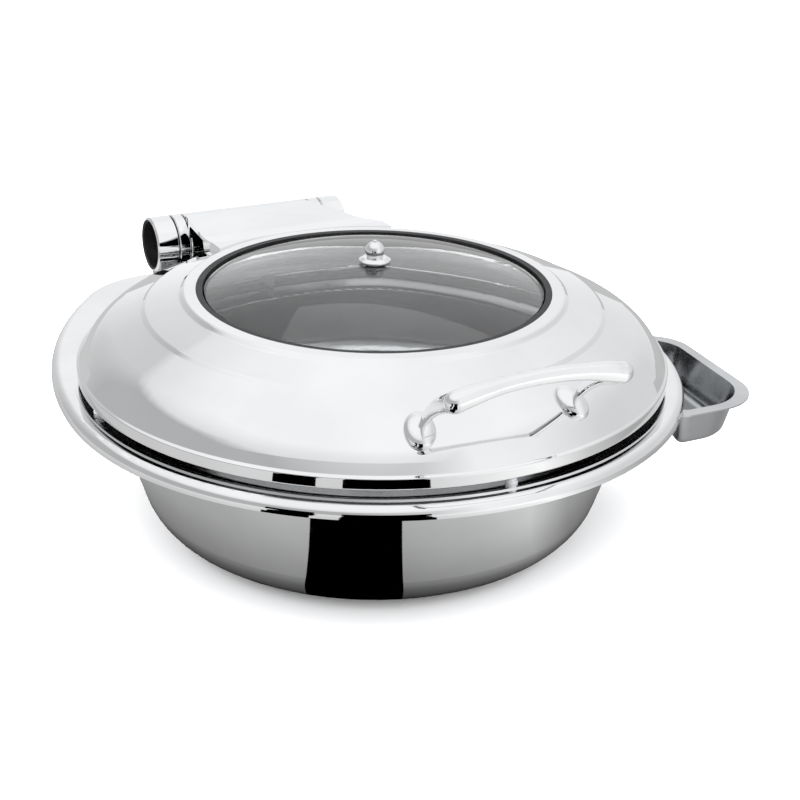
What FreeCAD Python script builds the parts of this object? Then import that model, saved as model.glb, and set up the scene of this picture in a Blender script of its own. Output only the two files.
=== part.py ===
import FreeCAD, Part
import Sketcher
import math
import os

# Round chafer with a hinged glass-window lid.
# Millimetres, +Z up, front of the chafer (lid handle) towards -Y, hinge at +Y,
# spoon tray at +X. The origin is the centre of the base, on the table.

os.makedirs("parts", exist_ok=True)
doc = FreeCAD.newDocument("chafer")
sheet = doc.addObject("Spreadsheet::Sheet", "dims")

V = FreeCAD.Vector

# ---------------------------------------------------------------- sizes

SIZES = [
    ("skin", 1.2, "sheet thickness of every pressed steel part"),
    ("gap", 0.3, "working gap between parts that move past each other"),
    ("seat", 0.05, "gap left between parts that only touch"),
    # water pan
    ("bowl_z", 2.6, "underside of the bowl above the table"),
    ("bowl_flat_r", 170.0, "virtual corner of bowl floor and wall"),
    ("bowl_corner", 46.0, "outer radius of the bowl corner"),
    ("bowl_top_r", 206.0, "outer radius of the bowl under the deck"),
    ("bowl_flange_r", 223.0, "outer radius of the bowl flange"),
    ("core_r", 124.0, "radius of the aluminium heat spreader"),
    ("disc_r", 127.0, "radius of the induction disc"),
    # deck
    ("deck_r", 241.4, "front radius of the deck"),
    ("deck_top", 125.0, "height of the deck top"),
    ("deck_low", 116.3, "height of the deck lip"),
    ("deck_round", 7.0, "rounding of the deck edge"),
    ("side_r", 394.0, "radius of the deck sides towards the hinge"),
    ("rear_y", 276.0, "rear edge of the deck"),
    ("rear_r", 80.0, "radius of the rear corners"),
    ("well_r", 226.8, "radius of the lid well in the deck"),
    ("well_wall", 2.6, "width of the raised bead round the lid well"),
    ("bead_z", 126.0, "height of the raised bead"),
    ("ledge_z", 117.5, "height of the ledge in the lid well"),
    ("mouth_r", 207.0, "radius of the opening in the ledge"),
    ("gasket_in_r", 214.2, "inner radius of the ledge gasket"),
    ("gasket_out_r", 226.3, "outer radius of the ledge gasket"),
    ("gasket_t", 1.2, "thickness of the ledge gasket"),
    # food pan
    ("pan_flange_r", 213.5, "outer radius of the food pan flange"),
    ("pan_r", 189.0, "outer radius of the food pan at the flange"),
    ("pan_floor_r", 180.0, "outer radius of the food pan at the floor"),
    ("pan_depth", 62.0, "depth of the food pan"),
    ("pan_corner", 24.0, "outer corner radius of the food pan"),
    # bumpers
    ("bumper_r", 220.3, "radius of the circle of bumpers"),
    ("bumper_size", 4.2, "radius of a bumper"),
    # lid
    ("lid_low", 131.0, "height of the lower edge of the lid"),
    ("lid_r", 227.2, "radius of the lid skirt"),
    ("lid_skirt", 140.6, "height of the top of the lid skirt"),
    ("lid_knee_r", 213.6, "radius of the virtual knee of the lid"),
    ("lid_knee_z", 160.2, "height of the virtual knee of the lid"),
    ("lid_knee", 45.0, "rounding of the lid knee"),
    ("step_out_r", 177.5, "outer radius of the outer step"),
    ("step_out_z", 177.2, "height at the foot of the outer step"),
    ("step_in_r", 148.5, "outer radius of the inner step"),
    ("step_in_z", 188.6, "height at the foot of the inner step"),
    ("top_z", 192.0, "height of the flat ring round the window"),
    ("window_r", 136.0, "radius of the window aperture"),
    ("hem_r", 214.5, "inner radius of the hem under the lid"),
    # window
    ("seal_r", 131.0, "inner radius of the window seal"),
    ("seal_out_r", 143.6, "outer radius of the window seal"),
    ("glass_r", 141.0, "radius of the glass"),
    ("glass_t", 4.0, "thickness of the glass"),
    ("glass_z", 184.6, "height of the underside of the glass rim"),
    ("glass_rise", 22.8, "rise of the glass dome above its rim"),
    ("glass_dome_r", 400.0, "radius of the outer face of the glass dome"),
    ("glass_bevel", 2.0, "height of the bevel between glass rim and dome"),
    ("ring_in_r", 134.0, "inner radius of the clamp ring"),
    ("ring_out_r", 156.0, "outer radius of the clamp ring"),
    ("ring_z", 180.8, "underside of the clamp ring"),
    ("ring_t", 1.6, "thickness of the clamp ring"),
    ("stud_ring_r", 149.6, "radius of the circle of ring studs"),
    ("stud_size", 2.0, "radius of a ring stud"),
    ("stud_len", 9.3, "length of a ring stud"),
    ("stud_low", 176.6, "height of the lower end of the ring studs"),
    # knob in the middle of the glass
    ("knob_r", 12.2, "radius of the knob foot"),
    ("knob_neck", 6.4, "radius of the knob neck"),
    ("knob_ball", 7.4, "radius of the knob ball"),
    ("knob_nub", 1.6, "radius of the nub on the knob"),
    ("knob_z", 212.1, "height of the underside of the knob foot"),
    ("knob_bolt", 2.5, "radius of the knob bolt"),
    # hinge
    ("hinge_y", 270.0, "hinge axis, towards the rear"),
    ("hinge_z", 152.0, "hinge axis, height"),
    ("tube_r", 24.0, "outer radius of the hinge tubes"),
    ("tube_in_r", 21.8, "inner radius of the hinge tubes"),
    ("hinge_half", 90.0, "half length of the hinge"),
    ("end_len", 19.6, "length of a fixed end tube"),
    ("collar_len", 9.8, "length of a collar"),
    ("joint_gap", 0.6, "gap between neighbouring hinge tubes"),
    ("shaft_r", 6.0, "radius of the hinge shaft"),
    ("bush_len", 12.0, "length of a hinge bush"),
    ("damper_len", 44.0, "length of the hinge damper"),
    ("foot_t", 2.8, "thickness of the hinge foot plate"),
    ("foot_half", 88.0, "half width of the hinge foot plate"),
    ("foot_front", 234.0, "front edge of the hinge foot plate"),
    ("foot_back", 272.0, "rear edge of the hinge foot plate"),
    ("foot_bolt_y", 241.5, "row of hinge bolts"),
    ("cradle_front", 247.5, "front face of the cradles under the end tubes"),
    ("cradle_len", 15.0, "length of a cradle along the hinge"),
    ("foot_bolt", 2.5, "radius of a hinge bolt"),
    # hinge arm
    ("arm_t", 3.0, "thickness of the hinge arm"),
    ("arm_back_half", 59.2, "half width of the arm at the hinge"),
    ("arm_front_half", 77.0, "half width of the arm at the window"),
    ("arm_front_y", 128.0, "front corner line of the arm"),
    ("arm_knee_y", 181.0, "bend line of the arm"),
    ("arm_knee_z", 184.2, "height of the arm top at the bend"),
    ("arm_front_z", 191.4, "height of the arm top at the front line"),
    # handle
    ("grip_y", -250.0, "centre line of the grip, forward"),
    ("grip_z", 207.4, "height of the ends of the grip"),
    ("grip_rise", 7.2, "rise of the middle of the grip"),
    ("grip_half", 62.0, "half length of the grip between its round ends"),
    ("grip_mid_r", 5.5, "half thickness of the grip in the middle"),
    ("grip_end_r", 7.6, "half thickness of the grip at its ends"),
    ("neck_r", 2.7, "half thickness of the leg at its foot"),
    ("foot_r", 204.7, "distance of the handle feet from the centre"),
    ("foot_z", 164.2, "height of the lid under the handle feet"),
    ("foot_swing", 16.7, "angle of each handle foot from the front"),
    ("foot_tilt", 29.0, "slope of the lid under the handle feet"),
    ("leaf_long", 15.2, "half length of a handle foot"),
    ("leaf_wide", 11.2, "half width of a handle foot"),
    ("leaf_high", 7.4, "height of a handle foot"),
    ("handle_bolt", 2.5, "radius of a handle bolt"),
    # spoon tray
    ("tray_top", 112.0, "height of the tray flange"),
    ("tray_depth", 33.0, "depth of the spoon tray"),
    ("tray_in_near_x", 181.0, "inner edge of the tray at the front"),
    ("tray_in_far_x", 212.0, "inner edge of the tray at the back"),
    ("tray_near_x", 267.0, "outer edge of the tray at the front"),
    ("tray_far_x", 277.0, "outer edge of the tray at the back"),
    ("tray_near_y", -153.0, "front edge of the tray"),
    ("tray_far_y", 2.0, "rear edge of the tray"),
    ("tray_corner", 34.0, "outer corner radius of the tray at the back"),
    ("tray_front_corner", 42.0, "outer corner radius of the tray at the front"),
    ("tray_heel", 12.0, "inner corner radius of the tray"),
    ("tray_flange", 8.0, "width of the tray flange"),
    ("tray_slope", 7.0, "how far the tray walls lean in over their height"),
    ("tray_round", 8.0, "corner radius of the tray floor"),
    ("tab_y", -118.0, "centre of the tray tongue"),
    ("tab_half", 13.0, "half width of the tray tongue"),
    ("tab_in_x", 183.4, "inner end of the tray tongue"),
    ("tab_out_x", 193.5, "outer end of the tray tongue, inside the flange"),
    ("socket_in_x", 181.8, "inner face of the tray socket"),
    ("socket_out_x", 184.9, "outer face of the tray socket"),
    ("socket_top", 112.9, "top of the tray socket"),
    ("socket_low", 107.4, "underside of the tray socket"),
]


class Dim:
    """A number that carries the spreadsheet expression it comes from."""

    def __init__(self, value, text):
        self.value = float(value)
        self.text = text

    def __add__(self, other):
        other = dim(other)
        return Dim(self.value + other.value, f"({self.text} + {other.text})")

    def __sub__(self, other):
        other = dim(other)
        return Dim(self.value - other.value, f"({self.text} - {other.text})")

    def __mul__(self, other):
        other = dim(other)
        return Dim(self.value * other.value, f"({self.text} * {other.text})")

    def __truediv__(self, other):
        other = dim(other)
        return Dim(self.value / other.value, f"({self.text} / {other.text})")

    def __neg__(self):
        return Dim(-self.value, f"(0 - {self.text})")


def dim(number):
    return number if isinstance(number, Dim) else Dim(number, repr(float(number)))


class Sizes:
    pass


D = Sizes()
for row, (name, value, note) in enumerate(SIZES, start=1):
    sheet.set(f"A{row}", name)
    sheet.set(f"B{row}", str(value))
    sheet.set(f"C{row}", note)
    sheet.setAlias(f"B{row}", name)
    setattr(D, name, Dim(value, "dims." + name))
doc.recompute()


def sin(angle):
    return Dim(math.sin(math.radians(angle.value)), f"sin({angle.text} * 1 deg)")


def cos(angle):
    return Dim(math.cos(math.radians(angle.value)), f"cos({angle.text} * 1 deg)")


def polar(radius, angle):
    """x and y of a point at an angle counted from +X."""
    angle = dim(angle)
    return radius * cos(angle), radius * sin(angle)


def chord_reach(radius, offset):
    """Distance along a circle's axis to the point that lies offset away from it."""
    return Dim(math.sqrt(radius.value ** 2 - offset.value ** 2),
               f"sqrt({radius.text} ^ 2 - {offset.text} ^ 2)")


# ---------------------------------------------------------------- helpers

PARTS = []


def bind(obj, prop, number):
    """Set a property from a Dim and tie it to the spreadsheet."""
    number = dim(number)
    if not prop.startswith("Placement"):
        setattr(obj, prop, number.value)
    obj.setExpression(prop, number.text)


def place(obj, x=0, y=0, z=0, rotation=None):
    x, y, z = dim(x), dim(y), dim(z)
    obj.Placement = FreeCAD.Placement(V(x.value, y.value, z.value), rotation or FreeCAD.Rotation())
    for axis, number in zip("xyz", (x, y, z)):
        obj.setExpression(f"Placement.Base.{axis}", number.text)
    return obj


ALONG_X = FreeCAD.Rotation(V(0, 1, 0), 90)


def origin_plane(body, role):
    for feature in body.Origin.OriginFeatures:
        if feature.Role == role:
            return feature
    raise RuntimeError(role)


def new_body(label):
    body = doc.addObject("PartDesign::Body", label)
    body.Label = label
    return body


def new_sketch(body, name, plane, lift=None):
    sketch = body.newObject("Sketcher::SketchObject", name)
    sketch.AttachmentSupport = [(origin_plane(body, plane), "")]
    sketch.MapMode = "FlatFace"
    if lift is not None:
        bind_lift(sketch, lift)
    return sketch


def bind_lift(sketch, lift):
    """Move a sketch along its own normal."""
    lift = dim(lift)
    sketch.AttachmentOffset = FreeCAD.Placement(V(0, 0, lift.value), FreeCAD.Rotation())
    sketch.setExpression("AttachmentOffset.Base.z", lift.text)


def pin(sketch, geo, pos, x, y):
    """Hold one point of the sketch at coordinates given by Dims."""
    for kind, axis, number in (("DistanceX", -2, dim(x)), ("DistanceY", -1, dim(y))):
        if number.text == "0.0":
            sketch.addConstraint(Sketcher.Constraint("PointOnObject", geo, pos, axis))
        else:
            index = sketch.addConstraint(Sketcher.Constraint(kind, geo, pos, number.value))
            sketch.setExpression(f"Constraints[{index}]", number.text)


def outline(sketch, path):
    """Closed outline through path.

    Each entry is (x, y), (x, y, corner radius) or (x, y, 0, arc radius) where the arc
    radius bends the edge to the next point; it is positive for a centre on the right.
    """
    count = len(path)
    path = [tuple(dim(n) for n in entry) + (dim(0),) * (4 - len(entry)) for entry in path]
    points = [V(entry[0].value, entry[1].value, 0) for entry in path]
    enter, leave, centre = [], [], []
    for i, entry in enumerate(path):
        radius = entry[2].value
        if radius <= 0:
            enter.append(points[i])
            leave.append(points[i])
            centre.append(None)
            continue
        back = (points[i - 1] - points[i]).normalize()
        ahead = (points[(i + 1) % count] - points[i]).normalize()
        half = back.getAngle(ahead) / 2
        enter.append(points[i] + back * (radius / math.tan(half)))
        leave.append(points[i] + ahead * (radius / math.tan(half)))
        centre.append(points[i] + (back + ahead).normalize() * (radius / math.sin(half)))
    lines, arcs = [], []
    for i in range(count):
        start, end = leave[i], enter[(i + 1) % count]
        bend = path[i][3].value
        if bend == 0:
            lines.append((sketch.addGeometry(Part.LineSegment(start, end), False), 1, 2))
            continue
        middle = (start + end) * 0.5
        chord = end - start
        side = V(chord.y, -chord.x, 0).normalize()
        reach = math.sqrt(bend ** 2 - (chord.Length / 2) ** 2)
        hub = middle + side * math.copysign(reach, bend)
        first, last = (end, start) if bend > 0 else (start, end)
        arc = Part.ArcOfCircle(
            Part.Circle(hub, V(0, 0, 1), abs(bend)),
            math.atan2(first.y - hub.y, first.x - hub.x),
            math.atan2(last.y - hub.y, last.x - hub.x),
        )
        ends = (2, 1) if bend > 0 else (1, 2)
        lines.append((sketch.addGeometry(arc, False),) + ends)
    for i in range(count):
        if centre[i] is None:
            arcs.append(None)
            continue
        hub = centre[i]
        turn = (points[i] - points[i - 1]).cross(points[(i + 1) % count] - points[i]).z
        first, last = (enter[i], leave[i]) if turn > 0 else (leave[i], enter[i])
        arc = Part.ArcOfCircle(
            Part.Circle(hub, V(0, 0, 1), path[i][2].value),
            math.atan2(first.y - hub.y, first.x - hub.x),
            math.atan2(last.y - hub.y, last.x - hub.x),
        )
        ends = (1, 2) if turn > 0 else (2, 1)
        arcs.append((sketch.addGeometry(arc, False),) + ends)
    for i in range(count):
        before, after = lines[i - 1], lines[i]
        if arcs[i] is None:
            sketch.addConstraint(
                Sketcher.Constraint("Coincident", before[0], before[2], after[0], after[1])
            )
            pin(sketch, after[0], after[1], path[i][0], path[i][1])
            continue
        arc, start, end = arcs[i]
        sketch.addConstraint(Sketcher.Constraint("Tangent", before[0], before[2], arc, start))
        sketch.addConstraint(Sketcher.Constraint("Tangent", arc, end, after[0], after[1]))
        index = sketch.addConstraint(Sketcher.Constraint("Radius", arc, path[i][2].value))
        sketch.setExpression(f"Constraints[{index}]", path[i][2].text)
        corner = sketch.addGeometry(Part.Point(points[i]), True)
        sketch.addConstraint(Sketcher.Constraint("PointOnObject", corner, 1, before[0]))
        sketch.addConstraint(Sketcher.Constraint("PointOnObject", corner, 1, after[0]))
        pin(sketch, corner, 1, path[i][0], path[i][1])
    for i, entry in enumerate(path):
        if entry[3].value:
            index = sketch.addConstraint(
                Sketcher.Constraint("Radius", lines[i][0], abs(entry[3].value))
            )
            text = entry[3].text if entry[3].value > 0 else f"(0 - {entry[3].text})"
            sketch.setExpression(f"Constraints[{index}]", text)


def circle(sketch, radius, x=0, y=0):
    radius = dim(radius)
    ring = sketch.addGeometry(
        Part.Circle(V(dim(x).value, dim(y).value, 0), V(0, 0, 1), radius.value), False
    )
    pin(sketch, ring, 3, x, y)
    index = sketch.addConstraint(Sketcher.Constraint("Radius", ring, radius.value))
    sketch.setExpression(f"Constraints[{index}]", radius.text)


def revolved(label, path):
    """A solid turned about the body's own Z axis from an (r, z) outline."""
    body = new_body(label)
    sketch = new_sketch(body, label + "_profile", "XZ_Plane")
    outline(sketch, path)
    turn = body.newObject("PartDesign::Revolution", label + "_turn")
    turn.Profile = (sketch, [""])
    turn.ReferenceAxis = (sketch, ["V_Axis"])
    turn.Angle = 360.0
    sketch.Visibility = False
    doc.recompute()
    return body


def pad(body, name, sketch, length, reverse=False, taper=None):
    feature = body.newObject("PartDesign::Pad", name)
    feature.Profile = (sketch, [""])
    bind(feature, "Length", length)
    feature.Reversed = reverse
    if taper is not None:
        bind(feature, "TaperAngle", taper)
    doc.recompute()
    return feature


def pocket(body, name, sketch, length):
    """Cut downwards from the sketch."""
    feature = body.newObject("PartDesign::Pocket", name)
    feature.Profile = (sketch, [""])
    bind(feature, "Length", length)
    before = body.Shape.Volume
    doc.recompute()
    if not body.Shape.Volume < before - 1e-3:
        feature.Reversed = True
        doc.recompute()
    return feature


def edges_where(feature, test):
    return [f"Edge{i}" for i, edge in enumerate(feature.Shape.Edges, start=1) if test(edge)]


def faces_where(feature, test):
    return [f"Face{i}" for i, face in enumerate(feature.Shape.Faces, start=1) if test(face)]


def fillet(body, name, base, edges, radius):
    feature = body.newObject("PartDesign::Fillet", name)
    feature.Base = (base, edges)
    bind(feature, "Radius", radius)
    doc.recompute()
    return feature


def flat_at(z):
    """Test for an edge or a face that lies flat at one height."""
    def test(item):
        box = item.BoundBox
        return abs(box.ZMin - z.value) < 1e-4 and abs(box.ZMax - z.value) < 1e-4
    return test


def cylinder(name, radius, height, x=0, y=0, z=0, rotation=None):
    obj = doc.addObject("Part::Cylinder", name)
    bind(obj, "Radius", radius)
    bind(obj, "Height", height)
    return place(obj, x, y, z, rotation)


def block(name, size, x=0, y=0, z=0):
    obj = doc.addObject("Part::Box", name)
    for prop, number in zip(("Length", "Width", "Height"), size):
        bind(obj, prop, number)
    return place(obj, x, y, z)


def prism(name, across, height, x=0, y=0, z=0, rotation=None):
    """A hexagon given by the radius of its corners."""
    obj = doc.addObject("Part::Prism", name)
    obj.Polygon = 6
    bind(obj, "Circumradius", across)
    bind(obj, "Height", height)
    return place(obj, x, y, z, rotation)


def fused(name, items):
    obj = doc.addObject("Part::MultiFuse", name)
    obj.Shapes = items
    doc.recompute()
    return obj


def cut(name, base, tool):
    obj = doc.addObject("Part::Cut", name)
    obj.Base = base
    obj.Tool = tool
    doc.recompute()
    return obj


def group(name, items):
    """Identical loose pieces kept as separate solids of one part."""
    obj = doc.addObject("Part::Compound", name)
    obj.Links = items
    doc.recompute()
    return obj


def part(obj, label):
    obj.Label = label
    PARTS.append(obj)
    return obj


def keep_revolved(label, path):
    return part(revolved(label, path), label)


def on_axis(body):
    """Lay a turned body along the hinge axis, with its own z running towards +X."""
    return place(body, 0, D.hinge_y, D.hinge_z, ALONG_X)


def hinge_ring(label, inner, outer, start, end, bevel=0.8):
    body = keep_revolved(label, [
        (inner, start), (outer - bevel, start), (outer, start + bevel),
        (outer, end - bevel), (outer - bevel, end), (inner, end),
    ])
    return on_axis(body)


# ---------------------------------------------------------------- base

# The water pan is one pressing: flat floor, round corner, flared wall, flange.
flange_top = D.deck_low - D.seat
keep_revolved("water_pan", [
    (0, D.bowl_z), (D.bowl_flat_r, D.bowl_z, D.bowl_corner),
    (D.bowl_top_r, flange_top - D.skin, 2.0), (D.bowl_flange_r, flange_top - D.skin),
    (D.bowl_flange_r, flange_top), (D.bowl_top_r - D.skin, flange_top, 3.2),
    (D.bowl_flat_r - D.skin * 0.7, D.bowl_z + D.skin, D.bowl_corner - D.skin),
    (0, D.bowl_z + D.skin),
])

# Induction base: a steel disc pressed over an aluminium heat spreader.
keep_revolved("heat_spreader", [
    (0, 1.0), (D.core_r, 1.0, 0.6), (D.core_r, D.bowl_z - D.seat), (0, D.bowl_z - D.seat),
])
keep_revolved("induction_disc", [
    (0, 0), (D.disc_r, 0, 1.0), (D.disc_r, D.bowl_z - D.seat),
    (D.core_r + 0.8, D.bowl_z - D.seat), (D.core_r + 0.8, 0.95), (0, 0.95),
])


def deck_outline(sketch):
    """Round front, long side arcs, rounded rear corners and a straight rear edge."""
    front, side, corner = D.deck_r, D.side_r, D.rear_r
    side_x = side - front
    corner_y = D.rear_y - corner
    swing = side - corner
    reach = chord_reach(swing, corner_y)
    corner_x = reach - side_x
    meet_x = reach * side / swing - side_x
    meet_y = corner_y * side / swing
    meet = math.atan2(corner_y.value, reach.value)
    hub = V(side_x.value, 0, 0)
    right = V(corner_x.value, corner_y.value, 0)
    left = V(-corner_x.value, corner_y.value, 0)
    rear = V(0, D.rear_y.value, 0)
    shapes = [(V(), front, math.pi, 2 * math.pi), (-hub, side, 0, meet),
              (right, corner, meet, math.pi / 2), None,
              (left, corner, math.pi / 2, math.pi - meet), (hub, side, math.pi - meet, math.pi)]
    ids = []
    for shape in shapes:
        if shape is None:
            edge = Part.LineSegment(V(right.x, rear.y, 0), V(left.x, rear.y, 0))
            ids.append(sketch.addGeometry(edge, False))
            continue
        centre, radius, start, end = shape
        edge = Part.ArcOfCircle(Part.Circle(centre, V(0, 0, 1), radius.value), start, end)
        ids.append(sketch.addGeometry(edge, False))
        number = sketch.addConstraint(Sketcher.Constraint("Radius", ids[-1], radius.value))
        sketch.setExpression(f"Constraints[{number}]", radius.text)
    for this, following in zip(ids, ids[1:] + ids[:1]):
        sketch.addConstraint(Sketcher.Constraint("Coincident", this, 2, following, 1))
    pin(sketch, ids[0], 3, 0, 0)
    for end in (1, 2):
        sketch.addConstraint(Sketcher.Constraint("PointOnObject", ids[0], end, -1))
    pin(sketch, ids[2], 1, meet_x, meet_y)
    pin(sketch, ids[3], 1, corner_x, D.rear_y)
    pin(sketch, ids[4], 1, -corner_x, D.rear_y)
    pin(sketch, ids[5], 1, -meet_x, meet_y)


# The deck is a pressed plate: rounded edge, hollow below, with a well for the lid.
deck = new_body("rim_deck")
deck_sketch = new_sketch(deck, "deck_outline", "XY_Plane", D.deck_low)
deck_outline(deck_sketch)
deck_plate = pad(deck, "deck_plate", deck_sketch, D.deck_top - D.deck_low)
deck_edge = fillet(deck, "deck_edge", deck_plate,
                   edges_where(deck_plate, flat_at(D.deck_top)), D.deck_round)
deck_shell = deck.newObject("PartDesign::Thickness", "deck_shell")
deck_shell.Base = (deck_edge, faces_where(deck_edge, flat_at(D.deck_low)))
bind(deck_shell, "Value", D.skin)
deck_shell.Reversed = True
deck_shell.Join = "Intersection"
doc.recompute()
deck_ring = new_sketch(deck, "deck_ring", "XY_Plane", D.deck_low)
circle(deck_ring, D.well_r + D.well_wall)
circle(deck_ring, D.mouth_r)
pad(deck, "deck_rib", deck_ring, D.bead_z - D.deck_low)
deck_well = new_sketch(deck, "deck_well", "XY_Plane", D.bead_z)
circle(deck_well, D.well_r)
pocket(deck, "deck_well_cut", deck_well, D.bead_z - D.ledge_z)
deck_relief = new_sketch(deck, "deck_relief", "XY_Plane", D.deck_top - D.skin)
circle(deck_relief, D.well_r + D.well_wall)
circle(deck_relief, D.well_r + D.skin)
pocket(deck, "deck_relief_cut", deck_relief, D.deck_top - D.skin - D.deck_low)
deck_mouth = new_sketch(deck, "deck_mouth", "XY_Plane", D.bead_z)
circle(deck_mouth, D.mouth_r)
pocket(deck, "deck_mouth_cut", deck_mouth, D.bead_z - D.deck_low)
deck_holes = new_sketch(deck, "deck_holes", "XY_Plane", D.bead_z)
BOLT_X = (-78, -28, 28, 78)
for bolt_x in BOLT_X:
    circle(deck_holes, D.foot_bolt + D.gap, bolt_x, D.foot_bolt_y)
pocket(deck, "deck_holes_cut", deck_holes, D.bead_z - D.deck_low)
part(deck, "rim_deck")

# A flat gasket lies on the ledge, and soft bumpers on it carry the closed lid.
gasket_low = D.ledge_z + D.seat
gasket_top = gasket_low + D.gasket_t
keep_revolved("ledge_gasket", [
    (D.gasket_in_r, gasket_low), (D.gasket_out_r, gasket_low),
    (D.gasket_out_r, gasket_top, 0.4), (D.gasket_in_r, gasket_top, 0.4),
])
bumper_z = gasket_top + D.seat
bumper_height = D.lid_low - D.seat - bumper_z
bumpers = []
for number, angle in enumerate((-90, 0, 90, 180)):
    x, y = polar(D.bumper_r, angle)
    foot = cylinder(f"bumper_foot{number}", D.bumper_size, bumper_height - 3, x, y,
                    bumper_z)
    tip = cylinder(f"bumper_tip{number}", D.bumper_size - 0.7, bumper_height, x, y,
                   bumper_z)
    bumpers.append(fused(f"bumper{number}", [foot, tip]))
part(group("bumpers", bumpers), "lid_bumpers")

# ---------------------------------------------------------------- food pan

pan_z = D.ledge_z + D.seat
pan_floor = pan_z - D.pan_depth
keep_revolved("food_pan", [
    (0, pan_floor), (D.pan_floor_r, pan_floor, D.pan_corner), (D.pan_r, pan_z, 2.0),
    (D.pan_flange_r - 1.4, pan_z), (D.pan_flange_r, pan_z + 0.2), (D.pan_flange_r, pan_z + 1.6),
    (D.pan_flange_r - 1.4, pan_z + 2.0), (D.pan_flange_r - 2.4, pan_z + 1.0),
    (D.pan_r - 1.0, pan_z + 1.0, 3.0), (D.pan_floor_r - 1.0, pan_floor + 1.0, D.pan_corner - 1.0),
    (0, pan_floor + 1.0),
])

# ---------------------------------------------------------------- lid

inner_knee = D.lid_knee - D.skin
lid = revolved("lid_pressing", [
    (D.window_r, D.top_z), (D.step_in_r - 3.4, D.top_z - 0.3, 3.0),
    (D.step_in_r, D.step_in_z, 3.0), (D.step_out_r - 3.0, D.step_out_z + 2.5, 3.0),
    (D.step_out_r, D.step_out_z, 3.0), (D.lid_knee_r, D.lid_knee_z, D.lid_knee),
    (D.lid_r - 2.2, D.lid_skirt + 0.4, 1.6), (D.lid_r, D.lid_skirt - 0.8, 1.4),
    (D.lid_r, D.lid_low, 1.6), (D.hem_r, D.lid_low), (D.hem_r, D.lid_low + D.skin),
    (D.lid_r - D.skin, D.lid_low + D.skin, 0.4), (D.lid_r - D.skin, D.lid_skirt - 1.6, 0.4),
    (D.lid_r - 3.4, D.lid_skirt - 0.3, 2.4), (D.lid_knee_r - 0.8, D.lid_knee_z - 1.0, inner_knee),
    (D.step_out_r - 0.3, D.step_out_z - 1.3, 2.0),
    (D.step_out_r - 3.4, D.step_out_z + 1.3, 2.0),
    (D.step_in_r - 0.4, D.step_in_z - 1.2, 2.0), (D.step_in_r - 3.8, D.top_z - 1.5, 2.0),
    (D.window_r, D.top_z - D.skin),
])


def lid_place(obj, radius, height, azimuth, tilt, drop):
    """Stand a piece on the lid, square to its surface, drop below the surface point."""
    azimuth, tilt, drop = dim(azimuth), dim(tilt), dim(drop)
    along = radius - sin(tilt) * drop
    x, y = polar(along, azimuth)
    turn = (FreeCAD.Rotation(V(0, 0, 1), azimuth.value)
            * FreeCAD.Rotation(V(0, 1, 0), tilt.value))
    return place(obj, x, y, height - cos(tilt) * drop, turn)


def lid_rod(name, radius, length, spot, drop):
    obj = cylinder(name, radius, length)
    return lid_place(obj, *spot, drop)


HANDLE_SPOTS = [(D.foot_r, D.foot_z, dim(-90) + D.foot_swing * side, D.foot_tilt)
                for side in (-1, 1)]
ARM_SPOTS = [(dim(162.5), dim(183.5), dim(angle), dim(20.6)) for angle in (72, 90, 108)]
RING_ANGLES = [22.5 + 45 * step for step in range(8)]

lid_holes = [lid_rod(f"handle_hole{i}", D.handle_bolt + D.gap, 12, spot, 6)
             for i, spot in enumerate(HANDLE_SPOTS)]
lid_holes += [lid_rod(f"arm_hole{i}", D.foot_bolt + D.gap, 12, spot, 6)
              for i, spot in enumerate(ARM_SPOTS)]
part(cut("lid_drilled", lid, fused("lid_holes", lid_holes)), "lid_shell")

# Shape of the lid's outer face, used to seat the handle feet and the hinge arm.
lid_form = revolved("lid_form", [
    (0, D.top_z + D.seat), (D.step_in_r - 3.4, D.top_z - 0.3 + D.seat, 3.0),
    (D.step_in_r, D.step_in_z + D.seat, 3.0), (D.step_out_r - 3.0, D.step_out_z + 2.55, 3.0),
    (D.step_out_r, D.step_out_z + D.seat, 3.0),
    (D.lid_knee_r + D.seat, D.lid_knee_z + D.seat, D.lid_knee),
    (D.lid_r - 2.2, D.lid_skirt + 0.4), (0, D.lid_skirt + 0.4),
])

# Window: domed glass in a soft U seal, clamped from below by a steel ring.
glass_rim = D.glass_z + D.glass_t
crown = glass_rim + D.glass_rise
part(revolved("window_glass", [
    (3.2, crown, 0, D.glass_dome_r), (D.seal_r - 1.4, glass_rim + D.glass_bevel),
    (D.seal_r - 0.2, glass_rim, 0.2), (D.glass_r, glass_rim, 0.8),
    (D.glass_r, D.glass_z, 0.8), (D.seal_r - 1, D.glass_z, 0, -D.glass_dome_r + D.glass_t),
    (3.2, crown - D.glass_t),
]), "window_glass")

seal_low = D.ring_z + D.ring_t + D.seat
seal_top = D.top_z - D.skin - D.seat * 2
keep_revolved("window_seal", [
    (D.seal_r, seal_low, 0.5), (D.seal_out_r, seal_low, 0.5),
    (D.seal_out_r, seal_top - 0.6), (D.window_r - D.seat, seal_top),
    (D.window_r - D.seat, D.top_z - 0.1, 0.4), (D.seal_r, D.top_z - 0.1, 0.5),
    (D.seal_r, glass_rim + D.seat), (D.glass_r + D.seat, glass_rim + D.seat),
    (D.glass_r + D.seat, D.glass_z - D.seat), (D.seal_r, D.glass_z - D.seat),
])

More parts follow.
